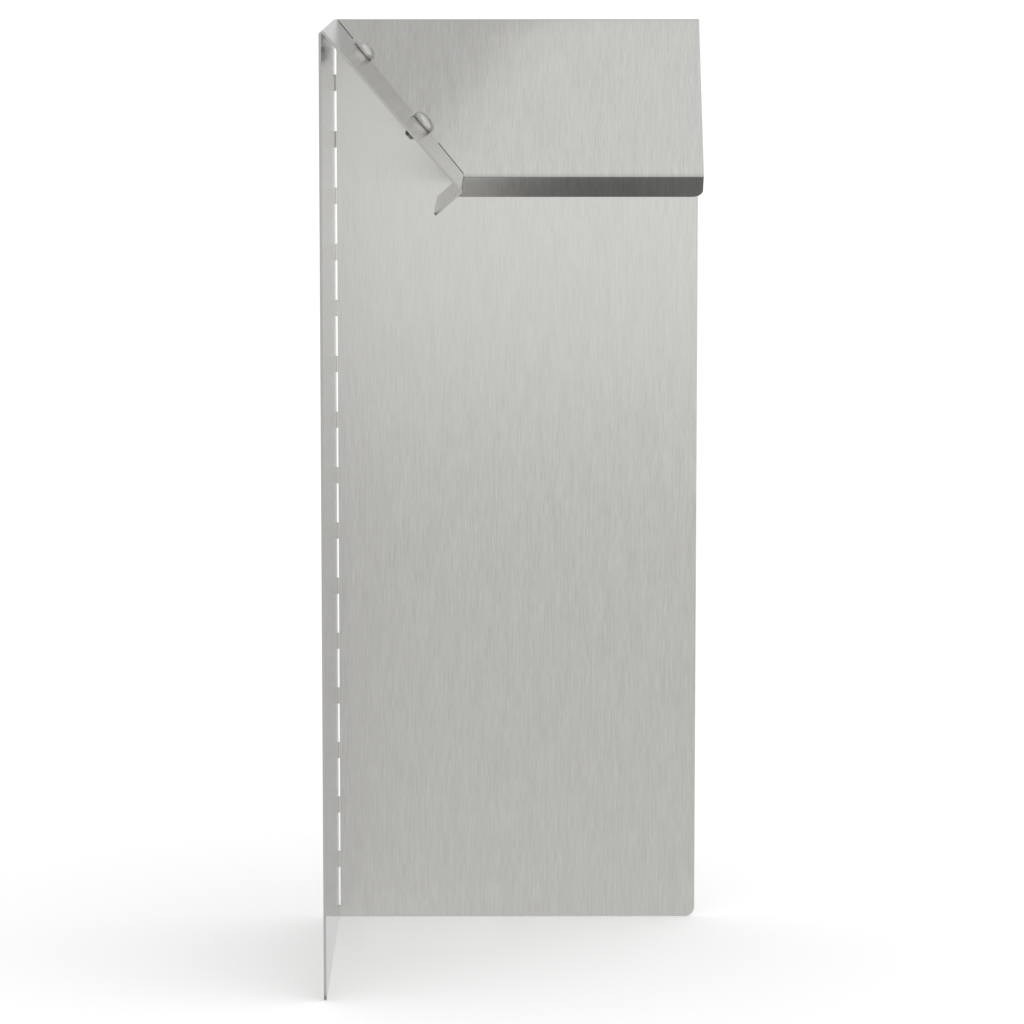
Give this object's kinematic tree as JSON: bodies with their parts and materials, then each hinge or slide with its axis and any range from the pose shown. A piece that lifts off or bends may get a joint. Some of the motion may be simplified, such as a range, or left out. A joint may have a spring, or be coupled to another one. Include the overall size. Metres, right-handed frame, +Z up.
{
  "type": "slug fence inner corner",
  "caption": "Inner corner of a metal slug fence: two legs folded from one slotted sheet, with sloping hoods and turned-in lips that meet in a screwed mitre.",
  "frame": {"origin": "centre of the bounding box on the ground plane, at the legs' bottom edges", "axes": "+Z up along the vertical fold; +Y is the outer face of the right leg, which runs along X; -X is the outer face of the left leg, which runs along Y; the hoods lean towards +X and -Y"},
  "size_m": [0.12, 0.12, 0.3],
  "materials": {
    "sheet": "brushed stainless steel, grain along each leg's height and down each hood",
    "screws": "bright plain stainless steel",
    "nuts": "plain stainless steel"
  },
  "bodies": {
    "root": {"folded_sheet": "sheet", "upper_screw": "screws", "lower_screw": "screws", "upper_nut": "nuts", "lower_nut": "nuts"}
  },
  "joints": []
}
